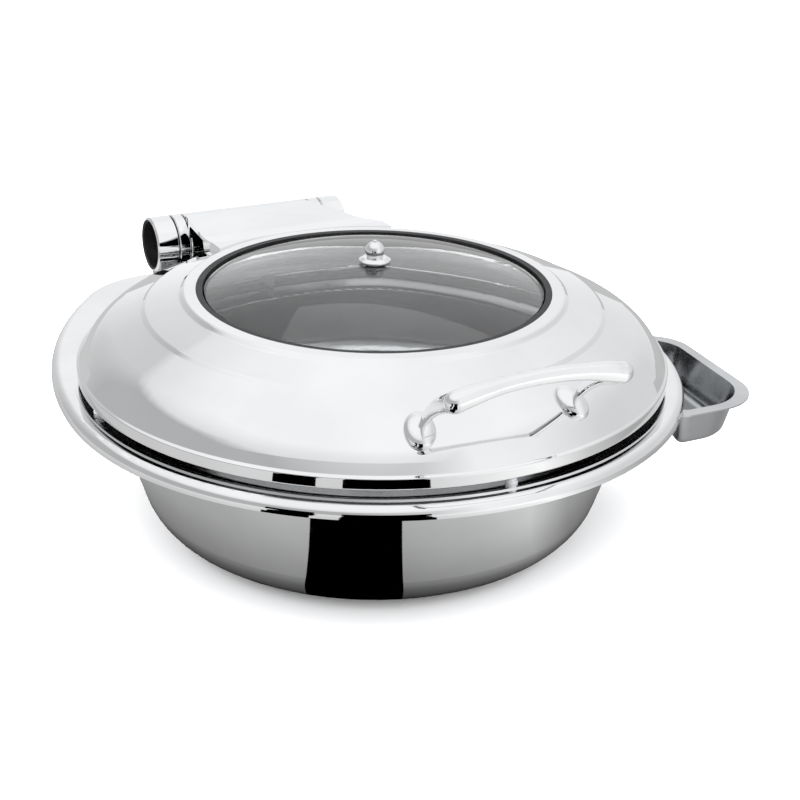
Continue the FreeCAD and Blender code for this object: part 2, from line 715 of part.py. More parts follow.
ring = revolved("ring_blank", [
    (D.ring_in_r, D.ring_z), (D.ring_out_r, D.ring_z), (D.ring_out_r, D.ring_z + D.ring_t),
    (D.ring_in_r, D.ring_z + D.ring_t),
])
ring_holes, studs, nuts = [], [], []
for number, angle in enumerate(RING_ANGLES):
    x, y = polar(D.stud_ring_r, angle)
    ring_holes.append(cylinder(f"ring_hole{number}", D.stud_size + 0.3, 6, x, y, D.ring_z - 2))
    studs.append(cylinder(f"stud{number}", D.stud_size, D.stud_len, x, y, D.stud_low))
    nut = prism(f"nut_blank{number}", 4.0, 3.0, x, y, D.ring_z - D.seat - 3.0)
    bore = cylinder(f"nut_bore{number}", D.stud_size + D.seat, 5, x, y, D.ring_z - 4.5)
    nuts.append(cut(f"nut{number}", nut, bore))
part(cut("clamp_ring", ring, fused("ring_holes", ring_holes)), "window_clamp_ring")
part(group("ring_stud_set", studs), "ring_studs")
part(group("ring_nut_set", nuts), "ring_nuts")

# Knob fitting in the middle of the glass.
ball_z = D.knob_z + 8.4
knob = keep_revolved("window_knob", [
    (0, D.knob_z + 0.8), (D.knob_bolt + 0.1, D.knob_z + 0.8), (D.knob_bolt + 0.1, D.knob_z),
    (D.knob_r, D.knob_z, 0.5), (D.knob_r, D.knob_z + 1.5, 0.7),
    (D.knob_neck + 2.6, D.knob_z + 3.5, 1.2), (D.knob_neck, D.knob_z + 4.1, 0.3),
    (D.knob_neck, ball_z - chord_reach(D.knob_ball, D.knob_neck), 0, -D.knob_ball),
    (D.knob_nub, ball_z + chord_reach(D.knob_ball, D.knob_nub)),
    (D.knob_nub, ball_z + 8.2, 0.6), (0, ball_z + 8.2),
])
keep_revolved("knob_washer", [
    (D.knob_bolt + 0.1, crown + 0.1), (8.2, crown + 0.1),
    (8.2, D.knob_z - D.seat), (D.knob_bolt + 0.1, D.knob_z - D.seat),
])
keep_revolved("knob_seal", [
    (D.knob_bolt + 0.1, crown - D.glass_t - 1.2), (7.4, crown - D.glass_t - 1.2),
    (7.4, crown - D.glass_t - 0.15), (D.knob_bolt + 0.1, crown - D.glass_t - D.seat),
])
bolt_top = D.knob_z + 0.8 - D.seat
bolt_low = crown - D.glass_t - 8.4
part(cylinder("knob_bolt", D.knob_bolt, bolt_top - bolt_low, 0, 0, bolt_low), "knob_bolt")
nut_z = crown - D.glass_t - 1.25 - 4.4
knob_nut = prism("knob_nut_blank", 5.6, 4.4, 0, 0, nut_z)
part(cut("knob_nut", knob_nut, cylinder("knob_nut_bore", D.knob_bolt + D.seat, 8, 0, 0, nut_z - 2)),
     "knob_nut")

# ---------------------------------------------------------------- hinge

end_in = D.hinge_half - D.end_len
collar_out = end_in - D.joint_gap
collar_in = collar_out - D.collar_len
barrel_half = collar_in - D.joint_gap
hinge_ring("hinge_end_right", D.tube_in_r, D.tube_r, end_in, D.hinge_half, 1.2)
hinge_ring("hinge_end_left", D.tube_in_r, D.tube_r, -D.hinge_half, -end_in, 1.2)
hinge_ring("hinge_collar_right", D.shaft_r + D.seat, D.tube_r, collar_in, collar_out)
hinge_ring("hinge_collar_left", D.shaft_r + D.seat, D.tube_r, -collar_out, -collar_in)

# Black cups line the open ends and hold the shaft.
cup_out, cup_in = D.tube_in_r - D.seat, D.tube_in_r - 1.6
cup_floor = end_in + 5.0
for label, side in (("hinge_cup_right", 1), ("hinge_cup_left", -1)):
    rim, floor_, back = (n * side for n in (D.hinge_half - 1.0, cup_floor, end_in))
    on_axis(keep_revolved(label, [
        (D.shaft_r + D.seat, back), (cup_out, back), (cup_out, rim), (cup_in, rim),
        (cup_in, floor_), (D.shaft_r + D.seat, floor_),
    ]))
shaft_half = cup_floor - 0.6
on_axis(keep_revolved("hinge_shaft", [
    (0, -shaft_half), (D.shaft_r - 0.8, -shaft_half), (D.shaft_r, -shaft_half + 0.8),
    (D.shaft_r, shaft_half - 0.8), (D.shaft_r - 0.8, shaft_half), (0, shaft_half),
]))

hinge_ring("hinge_barrel", D.tube_in_r, D.tube_r, -barrel_half, barrel_half)
bush_set = []
for number, side in enumerate((-1, 1)):
    near = barrel_half - 1.0
    far = near - D.bush_len
    low, high = (-near, -far) if side < 0 else (far, near)
    bush = revolved(f"bush{number}", [
        (D.shaft_r + D.gap, low), (D.tube_in_r - D.seat, low),
        (D.tube_in_r - D.seat, high), (D.shaft_r + D.gap, high),
    ])
    bush_set.append(on_axis(bush))
part(group("bush_set", bush_set), "hinge_bushes")
half_damper = D.damper_len / 2
on_axis(keep_revolved("hinge_damper", [
    (D.shaft_r + D.gap, -half_damper), (D.tube_in_r - D.seat, -half_damper),
    (D.tube_in_r - D.seat, half_damper), (D.shaft_r + D.gap, half_damper),
]))

# Foot plate bolted to the deck, with a cradle under each end tube.
plate_top = D.deck_top + D.seat + D.foot_t
plate = block("foot_plate", (D.foot_half * 2, D.foot_back - D.foot_front, D.foot_t),
              -D.foot_half, D.foot_front, D.deck_top + D.seat)
cradle_size = (D.cradle_len, D.foot_back - D.cradle_front, 15)
cradle_right = block("cradle_right", cradle_size, D.foot_half - D.cradle_len, D.cradle_front,
                     plate_top - 0.5)
cradle_left = block("cradle_left", cradle_size, -D.foot_half, D.cradle_front, plate_top - 0.5)
bracket = fused("bracket_blank", [plate, cradle_right, cradle_left])
bracket_holes = [cylinder(f"bracket_hole{i}", D.foot_bolt + 0.2, 12, bolt_x, D.foot_bolt_y,
                          D.deck_top - 4) for i, bolt_x in enumerate(BOLT_X)]
tube_clear = cylinder("tube_clear", D.tube_r + D.seat, D.hinge_half * 2 + 10,
                      -D.hinge_half - 5, D.hinge_y, D.hinge_z, ALONG_X)
barrel_clear = block("barrel_clear", (collar_out * 2 + 1, 40, 1.2), -collar_out - 0.5,
                     D.hinge_y - 16, plate_top - 0.6)
part(cut("bracket_cut", bracket, fused("bracket_tools", bracket_holes + [tube_clear, barrel_clear])),
     "hinge_bracket")

bolts, bolt_nuts = [], []
for i, bolt_x in enumerate(BOLT_X):
    head = cylinder(f"bolt_head{i}", 4.4, 2.4, bolt_x, D.foot_bolt_y, plate_top + D.seat)
    shank = cylinder(f"bolt_shank{i}", D.foot_bolt, 13.4, bolt_x, D.foot_bolt_y,
                     plate_top + 0.5 - 13.4)
    bolts.append(fused(f"bolt{i}", [head, shank]))
    under = D.deck_top - D.skin - D.seat
    nut = prism(f"bolt_nut_blank{i}", 4.6, 3.6, bolt_x, D.foot_bolt_y, under - 3.6)
    bore = cylinder(f"bolt_nut_bore{i}", D.foot_bolt + D.seat, 6, bolt_x, D.foot_bolt_y, under - 5)
    bolt_nuts.append(cut(f"bolt_nut{i}", nut, bore))
part(group("bolt_set", bolts), "bracket_bolts")
part(group("bolt_nut_set", bolt_nuts), "bracket_nuts")

# Arm: a bent plate from the crown of the barrel down onto the lid by the window.
arm = new_body("arm_blank")
arm_side = new_sketch(arm, "arm_side", "YZ_Plane", -90)
crest = D.hinge_z + D.tube_r
outline(arm_side, [
    (D.arm_front_y, D.arm_front_z), (D.step_in_r - 2, D.arm_front_z - 0.6, 12.0),
    (D.arm_knee_y, D.arm_knee_z, 60.0),
    (D.hinge_y - 4, crest + 0.6, 30.0), (D.hinge_y + 12, crest - 4.6), (D.hinge_y - 2, D.hinge_z + 12),
    (D.hinge_y - 22, D.hinge_z + 8), (D.hinge_y - 25, crest - D.arm_t + 0.6, 8.0),
    (D.step_out_r + 6, D.arm_knee_z - D.arm_t - 0.4, 3.0), (D.arm_front_y + 48, 168),
    (D.arm_front_y, 180),
])
pad(arm, "arm_pad", arm_side, 180)
arm_top = new_sketch(arm, "arm_top", "XY_Plane", 230)
outline(arm_top, [
    (-120, D.arm_front_y - 10), (-120, D.rear_y + 30), (-D.arm_back_half, D.rear_y + 30),
    (-D.arm_back_half, D.hinge_y - 9, 10.0), (-D.arm_front_half, D.arm_front_y + 24, 12.0),
    (-D.arm_front_half, D.arm_front_y - 10),
])
pocket(arm, "arm_trim_left", arm_top, 120)
arm_top_right = new_sketch(arm, "arm_top_right", "XY_Plane", 230)
outline(arm_top_right, [
    (120, D.arm_front_y - 10), (D.arm_front_half, D.arm_front_y - 10),
    (D.arm_front_half, D.arm_front_y + 24, 12.0), (D.arm_back_half, D.hinge_y - 9, 10.0),
    (D.arm_back_half, D.rear_y + 30), (120, D.rear_y + 30),
])
pocket(arm, "arm_trim_right", arm_top_right, 120)
window_clear = cylinder("window_clear", D.step_in_r + 1.5, 60, 0, 0, 160)
barrel_seat = cylinder("barrel_seat", D.tube_r + D.seat, 200, -100, D.hinge_y, D.hinge_z, ALONG_X)
arm_cut = cut("arm_seated", arm, fused("arm_tools", [window_clear, barrel_seat, lid_form]))
part(arm_cut, "hinge_arm")

arm_bolts, arm_nuts, arm_washers = [], [], []
for i, spot in enumerate(ARM_SPOTS):
    arm_bolts.append(lid_rod(f"arm_stud{i}", D.foot_bolt, 9.2, spot, 9.3))
    washer = lid_rod(f"arm_washer_blank{i}", 5.6, 0.9, spot, 2.5)
    washer_bore = lid_rod(f"arm_washer_bore{i}", D.foot_bolt + 0.2, 4, spot, 4.0)
    arm_washers.append(cut(f"arm_washer{i}", washer, washer_bore))
    nut = lid_place(prism(f"arm_nut_blank{i}", 4.6, 4.0), *spot, 6.6)
    bore = lid_rod(f"arm_nut_bore{i}", D.foot_bolt + D.seat, 8, spot, 9.0)
    arm_nuts.append(cut(f"arm_nut{i}", nut, bore))
part(group("arm_stud_set", arm_bolts), "arm_studs")
part(group("arm_washer_set", arm_washers), "arm_washers")
part(group("arm_nut_set", arm_nuts), "arm_nuts")

# ---------------------------------------------------------------- handle


def section(name, radius, x, y, z, rotation):
    ring_ = doc.addObject("Part::Circle", name)
    bind(ring_, "Radius", radius)
    return place(ring_, x, y, z, rotation)


def loft(name, sections):
    obj = doc.addObject("Part::Loft", name)
    obj.Sections = sections
    obj.Solid = True
    obj.Ruled = False
    doc.recompute()
    return obj


def between(start, end, share):
    return start + (end - start) * share


# Grip: round sections, thicker towards the ends and bowed upwards, closed by round ends.
grip_sections, grip_ends = [], []
SWELL = ((0.3, 0.04), (0.55, 0.2), (0.76, 0.68), (0.9, 0.95), (1.0, 1.0))
GRIP = ([(-share, swell) for share, swell in reversed(SWELL)] + [(0.0, 0.0)] + list(SWELL))
for i, (share, swell) in enumerate(GRIP):
    rise = D.grip_z + D.grip_rise * (1 - share ** 2)
    grip_sections.append(section(
        f"grip_section{i}", between(D.grip_mid_r, D.grip_end_r, swell), D.grip_half * share,
        D.grip_y, rise, ALONG_X))
    if abs(share) == 1:
        ball = doc.addObject("Part::Sphere", f"grip_end{i}")
        bind(ball, "Radius", D.grip_end_r)
        grip_ends.append(place(ball, D.grip_half * share, D.grip_y, rise))
grip = loft("grip", grip_sections)

legs, leaves, foot_bores = [], [], []
for i, side in enumerate((-1, 1)):
    spot = HANDLE_SPOTS[i]
    foot_x, foot_y = polar(spot[0], spot[2])
    bar_x = D.grip_half * (0.97 * side)
    rows = []
    # Each row: share of the way up, size as a share, bow away from the straight line.
    LEG = [(-0.04, 1.25, 0.0), (0.12, 1.05, 2.6), (0.32, 1.5, 5.2), (0.55, 2.05, 5.6),
           (0.78, 2.55, 3.2), (1.0, 2.75, 0.0)]
    run = V(bar_x.value - foot_x.value, D.grip_y.value - foot_y.value,
            D.grip_z.value - D.foot_z.value).normalize()
    square = FreeCAD.Rotation(V(0, 0, 1), run)
    for j, (share, size, bow) in enumerate(LEG):
        rows.append(section(
            f"leg{i}_section{j}", D.neck_r * size,
            between(foot_x, bar_x, share) + side * bow * 0.2,
            between(foot_y, D.grip_y, share) + bow * 0.35,
            between(D.foot_z, D.grip_z, share) + bow * 0.9, square))
    legs.append(loft(f"leg{i}", rows))
    leaf = doc.addObject("Part::Ellipsoid", f"leaf{i}")
    bind(leaf, "Radius1", D.leaf_high)
    bind(leaf, "Radius2", D.leaf_long)
    bind(leaf, "Radius3", D.leaf_wide)
    lid_place(leaf, *spot, 0)
    leaves.append(leaf)
    foot_bores.append(lid_rod(f"foot_bore{i}", D.handle_bolt + D.seat, 5.6, spot, 0.8))
blank = fused("handle_blank", [grip] + grip_ends + legs + leaves)
part(cut("handle_seated", blank, fused("handle_tools", [lid_form] + foot_bores)), "lid_handle")

handle_bolts, handle_washers = [], []
for i, spot in enumerate(HANDLE_SPOTS):
    shank = lid_rod(f"handle_shank{i}", D.handle_bolt, 7.6, spot, 3.4)
    head = lid_rod(f"handle_head{i}", 4.6, 3.0, spot, 6.1)
    handle_bolts.append(fused(f"handle_bolt{i}", [shank, head]))
    washer = lid_rod(f"handle_washer_blank{i}", 6.2, 0.9, spot, 3.0)
    bore = lid_rod(f"handle_washer_bore{i}", D.handle_bolt + 0.2, 4, spot, 4.6)
    handle_washers.append(cut(f"handle_washer{i}", washer, bore))
part(group("handle_bolt_set", handle_bolts), "handle_bolts")
part(group("handle_washer_set", handle_washers), "handle_washers")

# ---------------------------------------------------------------- spoon tray


def tray_outline(sketch, inset):
    heel = D.tray_heel - inset * 0.35
    outline(sketch, [
        (D.tray_in_near_x + inset, D.tray_near_y + inset, heel),
        (D.tray_near_x - inset, D.tray_near_y + inset, D.tray_front_corner - inset * 0.4),
        (D.tray_far_x - inset, D.tray_far_y - inset, D.tray_corner - inset * 0.6),
        (D.tray_in_far_x + inset, D.tray_far_y - inset, heel),
    ])


tray = new_body("spoon_tray")
tray_floor = D.tray_top - D.tray_depth


def tray_form(kind, name, inset, floor_z):
    """Tapered well between an outline at the flange and a smaller one at the floor."""
    mouth = new_sketch(tray, name + "_mouth", "XY_Plane", D.tray_top)
    tray_outline(mouth, inset)
    floor_ = new_sketch(tray, name + "_floor", "XY_Plane", floor_z)
    tray_outline(floor_, inset + D.tray_slope)
    form = tray.newObject(kind, name)
    form.Profile = (mouth, [""])
    form.Sections = [(floor_, [""])]
    form.Ruled = True
    doc.recompute()
    return form


tray_form("PartDesign::AdditiveLoft", "tray_well", D.tray_flange, tray_floor)
tray_hollow = tray_form("PartDesign::SubtractiveLoft", "tray_hollow",
                        D.tray_flange + D.skin, tray_floor + D.skin)
tray_inside = fillet(tray, "tray_inside", tray_hollow,
                     edges_where(tray_hollow, flat_at(tray_floor + D.skin)),
                     D.tray_round - D.skin)
fillet(tray, "tray_outside", tray_inside, edges_where(tray_inside, flat_at(tray_floor)),
       D.tray_round)
tray_rim = new_sketch(tray, "tray_rim", "XY_Plane", D.tray_top)
tray_outline(tray_rim, dim(0))
tray_outline(tray_rim, D.tray_flange + 0.6)
pad(tray, "tray_flange", tray_rim, D.skin, True)
tab = new_sketch(tray, "tray_tab", "XY_Plane", D.tray_top)
outline(tab, [
    (D.tab_in_x, D.tab_y - D.tab_half, 2.0), (D.tab_out_x, D.tab_y - D.tab_half),
    (D.tab_out_x, D.tab_y + D.tab_half), (D.tab_in_x, D.tab_y + D.tab_half, 2.0),
])
pad(tray, "tray_tongue", tab, D.skin, True)
part(tray, "spoon_tray")

socket_size = (D.socket_out_x - D.socket_in_x, D.tab_half * 2 + 4, D.socket_top - D.socket_low)
socket = block("socket_blank", socket_size, D.socket_in_x, D.tab_y - D.tab_half - 1, D.socket_low)
slot = block("socket_slot", (20, D.tab_half * 2 + D.gap * 2, D.skin + D.gap * 2),
             D.tab_in_x - 1, D.tab_y - D.tab_half - D.gap, D.tray_top - D.skin - D.gap)
part(cut("socket", socket, slot), "tray_socket")

# ---------------------------------------------------------------- write

doc.recompute()
faults = [obj.Label for obj in doc.Objects if {"Invalid", "Error"} & set(obj.State)]
for obj in PARTS:
    shape = obj.Shape
    if shape.isNull() or not shape.isValid() or not shape.Solids:
        faults.append(obj.Label + " shape")
if faults:
    raise RuntimeError("not sound: " + ", ".join(faults))
for obj in PARTS:
    obj.Shape.exportStep(f"parts/{obj.Label}.step")
    box = obj.Shape.BoundBox
    print(f"{obj.Label}: {len(obj.Shape.Solids)} solids, "
          f"x {box.XMin:.1f} {box.XMax:.1f} y {box.YMin:.1f} {box.YMax:.1f} "
          f"z {box.ZMin:.1f} {box.ZMax:.1f}")
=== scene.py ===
"""Looks for the round chafer: smooth turned steel, glass, rubber and a plain studio."""

import math

import bpy
from mathutils import Matrix, Vector

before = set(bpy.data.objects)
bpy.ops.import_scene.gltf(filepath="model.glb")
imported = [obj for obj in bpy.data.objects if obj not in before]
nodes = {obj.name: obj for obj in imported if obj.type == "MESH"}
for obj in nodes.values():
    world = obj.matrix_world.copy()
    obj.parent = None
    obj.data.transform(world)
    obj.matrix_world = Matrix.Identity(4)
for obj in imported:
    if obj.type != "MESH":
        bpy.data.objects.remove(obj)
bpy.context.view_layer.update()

# ---------------------------------------------------------------- materials

# Noise scales are in cycles per metre, and depths of relief in metres.
CLOUD_SCALE = 14.0
HAZE_SCALE = 260.0
WAVE_SCALE = 9.0
WAVE_DEPTH = 0.0006
LINES_ROUND = 1.5
LINES_PER_METRE = 900
LINE_DEPTH = 0.00003
DUST_SCALE = 60.0
GRAIN_SCALE = 1600.0
GRAIN_DEPTH = 0.0001


class Shader:
    """A Principled material with a few helpers for its procedural nodes."""

    def __init__(self, name, **constant):
        self.material = bpy.data.materials.new(name)
        self.material.use_nodes = True
        self.tree = self.material.node_tree
        self.bsdf = self.tree.nodes["Principled BSDF"]
        for socket, value in constant.items():
            self.bsdf.inputs[socket.replace("_", " ")].default_value = value
        self.place = self.node("ShaderNodeTexCoord").outputs["Object"]

    def node(self, kind, **settings):
        made = self.tree.nodes.new(kind)
        for name, value in settings.items():
            setattr(made, name, value)
        return made

    def link(self, output, target):
        if isinstance(target, str):
            target = self.bsdf.inputs[target]
        self.tree.links.new(output, target)

    def stretched(self, x, y, z):
        """Object coordinates scaled along each axis."""
        mapping = self.node("ShaderNodeMapping")
        mapping.inputs["Scale"].default_value = (x, y, z)
        self.link(self.place, mapping.inputs["Vector"])
        return mapping.outputs["Vector"]

    def flattened(self):
        """Object coordinates with the height left out."""
        flat = self.node("ShaderNodeVectorMath", operation="MULTIPLY")
        flat.inputs[1].default_value = (1, 1, 0)
        self.link(self.place, flat.inputs[0])
        return flat.outputs[0]

    def around(self, turns, radial, height):
        """Coordinates that run round the vertical axis, for lines left by turning."""
        parts = self.node("ShaderNodeSeparateXYZ")
        self.link(self.place, parts.inputs[0])
        angle = self.node("ShaderNodeMath", operation="ARCTAN2")
        self.link(parts.outputs["Y"], angle.inputs[0])
        self.link(parts.outputs["X"], angle.inputs[1])
        reach = self.node("ShaderNodeVectorMath", operation="LENGTH")
        self.link(self.flattened(), reach.inputs[0])
        made = self.node("ShaderNodeCombineXYZ")
        for output, factor, target in ((angle.outputs[0], turns, "X"),
                                       (reach.outputs["Value"], radial, "Y"),
                                       (parts.outputs["Z"], height, "Z")):
            scaled = self.node("ShaderNodeMath", operation="MULTIPLY")
            scaled.inputs[1].default_value = factor
            self.link(output, scaled.inputs[0])
            self.link(scaled.outputs[0], made.inputs[target])
        return made.outputs[0]

    def turning_lines(self):
        """Fine lines that run round the vertical axis."""
        return self.noise(self.around(LINES_ROUND, LINES_PER_METRE, LINES_PER_METRE), 1.0, 3.0,
                          0.6)

    def noise(self, vector, scale, detail=2.0, rough=0.5):
        made = self.node("ShaderNodeTexNoise")
        made.inputs["Scale"].default_value = scale
        made.inputs["Detail"].default_value = detail
        made.inputs["Roughness"].default_value = rough
        self.link(vector, made.inputs["Vector"])
        return made.outputs["Fac"]

    def spread(self, output, low, high, start=0.3, end=0.7):
        """Maps a noise value onto the range low to high."""
        made = self.node("ShaderNodeMapRange")
        for name, value in (("From Min", start), ("From Max", end), ("To Min", low),
                            ("To Max", high)):
            made.inputs[name].default_value = value
        self.link(output, made.inputs["Value"])
        return made.outputs["Result"]

    def tint(self, output, dark, light):
        """Colour between two tints, driven by a noise value."""
        ramp = self.node("ShaderNodeValToRGB")
        ramp.color_ramp.elements[0].position = 0.3
        ramp.color_ramp.elements[1].position = 0.7
        ramp.color_ramp.elements[0].color = (*dark, 1)
        ramp.color_ramp.elements[1].color = (*light, 1)
        self.link(output, ramp.inputs["Fac"])
        self.link(ramp.outputs["Color"], "Base Color")

    def relief(self, *layers):
        """Stacked bumps, each (height value, strength, depth in metres)."""
        normal = None
        for height, strength, depth in layers:
            bump = self.node("ShaderNodeBump")
            bump.inputs["Strength"].default_value = strength
            bump.inputs["Distance"].default_value = depth
            self.link(height, bump.inputs["Height"])
            if normal is not None:
                self.link(normal, bump.inputs["Normal"])
            normal = bump.outputs["Normal"]
        self.link(normal, "Normal")


def polished(name, dark=(0.82, 0.825, 0.83), light=(0.90, 0.903, 0.908), low=0.015, high=0.05,
             wave=0.03):
    """Mirror-polished pressed steel: faint cloudiness, buffing haze and a slight wave."""
    steel = Shader(name, Metallic=1.0)
    cloud = steel.noise(steel.place, CLOUD_SCALE, 3.0)
    haze = steel.noise(steel.place, HAZE_SCALE, 4.0, 0.6)
    steel.tint(cloud, dark, light)
    steel.link(steel.spread(haze, low, high), "Roughness")
    steel.relief((steel.noise(steel.place, WAVE_SCALE, 1.0), wave, WAVE_DEPTH))
    return steel.material


def lid_sheet(name, wave=0.02):
    """Sheet polished on the outside of the dome and left satin on the inside, where a darker grey
    is also painted in as shade.
    """
    steel = Shader(name, Metallic=1.0)
    # The outside is where the surface faces up or away from the axis.
    radial = steel.node("ShaderNodeVectorMath", operation="NORMALIZE")
    steel.link(steel.flattened(), radial.inputs[0])
    outward = steel.node("ShaderNodeVectorMath", operation="ADD")
    outward.inputs[1].default_value = (0, 0, 1)
    steel.link(radial.outputs[0], outward.inputs[0])
    facing = steel.node("ShaderNodeVectorMath", operation="DOT_PRODUCT")
    steel.link(outward.outputs[0], facing.inputs[0])
    steel.link(steel.node("ShaderNodeTexCoord").outputs["Normal"], facing.inputs[1])
    outside = steel.spread(facing.outputs["Value"], 0.0, 1.0, -0.1, 0.1)
    cloud = steel.noise(steel.place, CLOUD_SCALE, 3.0)
    haze = steel.noise(steel.place, HAZE_SCALE, 4.0, 0.6)
    lines = steel.turning_lines()
    steel.tint(cloud, (0.84, 0.845, 0.85), (0.90, 0.903, 0.908))
    shine = steel.bsdf.inputs["Base Color"].links[0].from_socket
    # Painted shade: the inside of the dome gets a dark grey in place of the polished tint, on top
    # of its satin roughness.
    colour = steel.node("ShaderNodeMix", data_type="RGBA")
    colour.inputs["A"].default_value = (0.40, 0.405, 0.41, 1)
    steel.link(outside, colour.inputs["Factor"])
    steel.link(shine, colour.inputs["B"])
    steel.link(colour.outputs["Result"], "Base Color")
    rough = steel.node("ShaderNodeMix", data_type="FLOAT")
    steel.link(outside, rough.inputs["Factor"])
    steel.link(steel.spread(lines, 0.24, 0.38), rough.inputs["A"])
    steel.link(steel.spread(haze, 0.015, 0.045), rough.inputs["B"])
    steel.link(rough.outputs["Result"], "Roughness")
    steel.relief((steel.noise(steel.place, WAVE_SCALE, 1.0), wave, WAVE_DEPTH))
    return steel.material


def turned(name, dark, light, low, high, lines=0.12):
    """Steel with fine lines that run round the vertical axis."""
    steel = Shader(name, Metallic=1.0, Anisotropic=0.35)
    fine = steel.turning_lines()
    cloud = steel.noise(steel.place, 18.0, 3.0)
    steel.tint(cloud, dark, light)
    steel.link(steel.spread(fine, low, high), "Roughness")
    steel.relief((fine, lines, LINE_DEPTH),
                 (steel.noise(steel.place, 8.0, 1.0), 0.04, WAVE_DEPTH))
    return steel.material


def rubber(name, dark, light, low=0.42, high=0.62):
    """Moulded rubber or nylon: matt, fine grained, a little dusty."""
    soft = Shader(name, Specular_IOR_Level=0.4)
    dust = soft.noise(soft.place, DUST_SCALE, 4.0)
    grain = soft.noise(soft.place, GRAIN_SCALE, 2.0)
    soft.tint(dust, dark, light)
    soft.link(soft.spread(dust, low, high), "Roughness")
    soft.relief((grain, 0.15, GRAIN_DEPTH))
    return soft.material


def glass(name):
    """Clear tempered glass with a faint grey tint and the odd wiping haze."""
    clear = Shader(name, Transmission_Weight=1.0, IOR=1.47)
    smear = clear.noise(clear.stretched(6, 14, 6), 3.0, 3.0)
    clear.tint(smear, (0.90, 0.92, 0.92), (0.955, 0.965, 0.965))
    clear.link(clear.spread(smear, 0.0, 0.012), "Roughness")
    return clear.material


MIRROR = polished("polished_steel")
LID_MIRROR = lid_sheet("lid_polished_steel")
BOWL = polished("bowl_polished_steel", (0.74, 0.745, 0.75), (0.82, 0.825, 0.83), 0.02, 0.06, 0.05)
HARDWARE = polished("hardware_steel", low=0.05, high=0.12, wave=0.02)
# Painted shade: the food pan gets a dark grey steel tint that stands in for the shade inside the
# covered pan.
PAN_PAINTED_SHADE = turned("pan_steel_painted_shade", (0.30, 0.305, 0.31), (0.38, 0.385, 0.39), 0.16, 0.26)
TRAY = polished("tray_steel", (0.50, 0.51, 0.52), (0.64, 0.65, 0.66), 0.13, 0.20)
SATIN = turned("satin_steel", (0.55, 0.555, 0.56), (0.68, 0.685, 0.69), 0.22, 0.36)
ALUMINIUM = turned("spreader_aluminium", (0.66, 0.67, 0.68), (0.78, 0.785, 0.79), 0.3, 0.45)
DARK_STEEL = polished("bracket_steel", (0.42, 0.425, 0.43), (0.56, 0.565, 0.57), 0.08, 0.16)
# Black silicone for the window and knob seals, also put on the ledge gasket, whose black is
# painted shade for the gap under the lid.
SEALS_AND_GAP_SHADE = rubber("silicone_seals_and_gap_shade", (0.006, 0.006, 0.007), (0.014, 0.014, 0.015))
NYLON = rubber("black_nylon", (0.004, 0.004, 0.004), (0.012, 0.012, 0.013), 0.5, 0.7)
SOFT = rubber("bumper_silicone", (0.48, 0.49, 0.50), (0.60, 0.61, 0.62), 0.4, 0.6)
GLASS = glass("window_glass_clear")

# ---------------------------------------------------------------- finishes

FINISHES = {
    MIRROR: ("rim_deck", "hinge_end_right", "hinge_end_left", "hinge_collar_right",
             "hinge_collar_left", "hinge_barrel", "hinge_arm", "lid_handle", "window_knob",
             "knob_washer"),
    LID_MIRROR: ("lid_shell",),
    BOWL: ("water_pan",),
    TRAY: ("spoon_tray",),
    PAN_PAINTED_SHADE: ("food_pan",),
    HARDWARE: ("bracket_bolts", "bracket_nuts", "ring_studs", "ring_nuts", "knob_bolt",
               "knob_nut", "arm_studs", "arm_washers", "arm_nuts", "handle_bolts",
               "handle_washers", "hinge_shaft", "tray_socket"),
    SATIN: ("window_clamp_ring", "induction_disc"),
    DARK_STEEL: ("hinge_bracket",),
    ALUMINIUM: ("heat_spreader",),
    # ledge_gasket is a black ring laid in the gap under the lid's edge; its black stands in for
    # the shade of that gap.
    SEALS_AND_GAP_SHADE: ("window_seal", "knob_seal", "ledge_gasket"),
    NYLON: ("hinge_cup_right", "hinge_cup_left", "hinge_bushes", "hinge_damper"),
    SOFT: ("lid_bumpers",),
    GLASS: ("window_glass",),
}
for material, names in FINISHES.items():
    for name in names:
        for slot in nodes[name].material_slots:
            slot.material = material

# ---------------------------------------------------------------- studio

FLOOR_HALF = 6.0
TABLE_HALF = 4.0
CARD_LIFT = 0.0005
CARD_STEP = 3
CARD_INNER = 0.10
CARD_MIDDLE = 0.40
CARD_REACH = 1.2
CARD_HEIGHT = 0.34

# Brightness of the mirrored table by distance in metres from the middle, and round it as
# a share of a full turn that starts at the back and passes the left side first.
TABLE_BY_REACH = (
    (0.13, 0.0), (0.155, 0.03), (0.178, 0.14), (0.195, 0.30), (0.225, 0.46), (0.26, 0.57),
    (0.32, 0.67), (0.6, 0.76), (1.0, 0.84))
TABLE_BY_BEARING = (
    (0.0, 0.72), (0.22, 0.88), (0.36, 1.05), (0.45, 0.95), (0.53, 1.28), (0.57, 1.48),
    (0.62, 0.88), (0.68, 0.60), (0.8, 0.66), (1.0, 0.72))

# Brightness of the mirrored sky from left (0) to right (1), and by the upward part of the
# direction. Matt surfaces get one even brightness instead.
SKY_BY_SIDE = ((0.25, 0.50), (0.36, 0.62), (0.46, 0.70), (0.62, 1.0), (0.80, 0.95), (0.95, 0.75))
SKY_BY_HEIGHT = ((0.40, 0.0), (0.62, 0.85), (0.85, 1.04))
MATT_LIGHT = 3.0


def lit(name, strength, colour=(1, 1, 1)):
    """A material that glows evenly, for the cards and panels that the steel mirrors."""
    made = bpy.data.materials.new(name)
    made.use_nodes = True
    tree = made.node_tree
    tree.nodes.remove(tree.nodes["Principled BSDF"])
    glow = tree.nodes.new("ShaderNodeEmission")
    glow.inputs["Color"].default_value = (*colour, 1)
    glow.inputs["Strength"].default_value = strength
    tree.links.new(glow.outputs[0], tree.nodes["Material Output"].inputs["Surface"])
    return made


